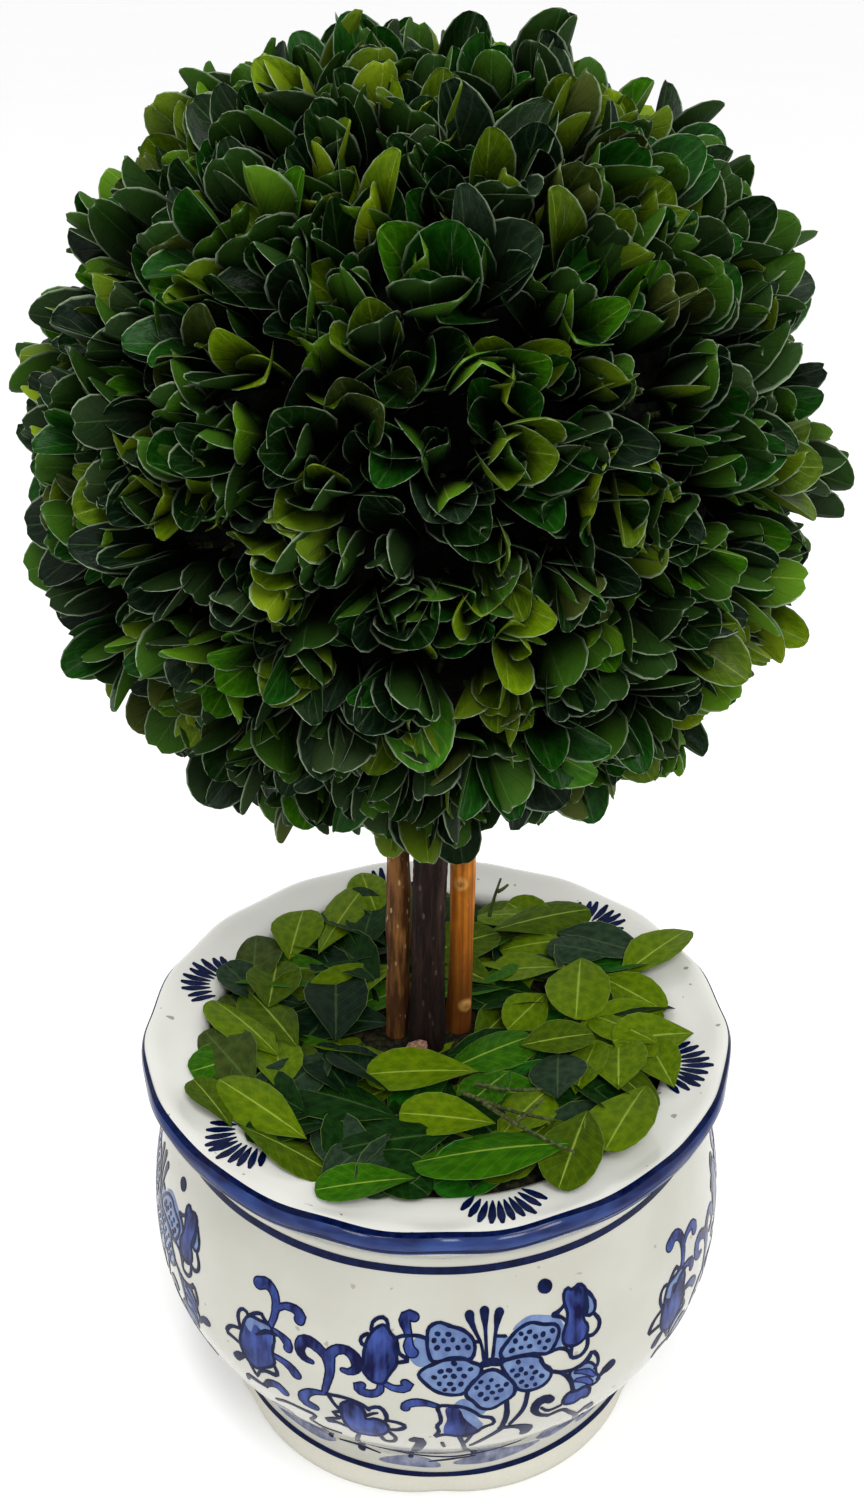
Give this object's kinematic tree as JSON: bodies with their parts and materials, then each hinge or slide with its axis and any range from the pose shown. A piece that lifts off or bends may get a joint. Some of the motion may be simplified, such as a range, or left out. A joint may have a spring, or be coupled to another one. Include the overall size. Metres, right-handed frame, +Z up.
{
  "type": "potted box topiary ball",
  "caption": "Small clipped ball of preserved box leaves on slim sticks, standing in a blue and white glazed ceramic pot with a leaf mulch.",
  "frame": {"origin": "centre of the pot's flat underside", "axes": "+Z up out of the pot, +X to the right and -Y to the front as the picture shows it"},
  "size_m": [0.1494, 0.1492, 0.2967],
  "materials": {
    "pot_glaze": "gloss",
    "filling": "matte",
    "brown_bark": "matte",
    "dark_bark": "matte",
    "peeled_wood": "matte",
    "mulch_leaves": "satin",
    "crown_leaves": "satin"
  },
  "bodies": {
    "root": {"pot": "pot_glaze", "pot_filling": "filling", "stem_left": "brown_bark", "stem_middle": "dark_bark", "stem_right": "peeled_wood", "mulch": "mulch_leaves", "crown": "crown_leaves"}
  },
  "joints": []
}
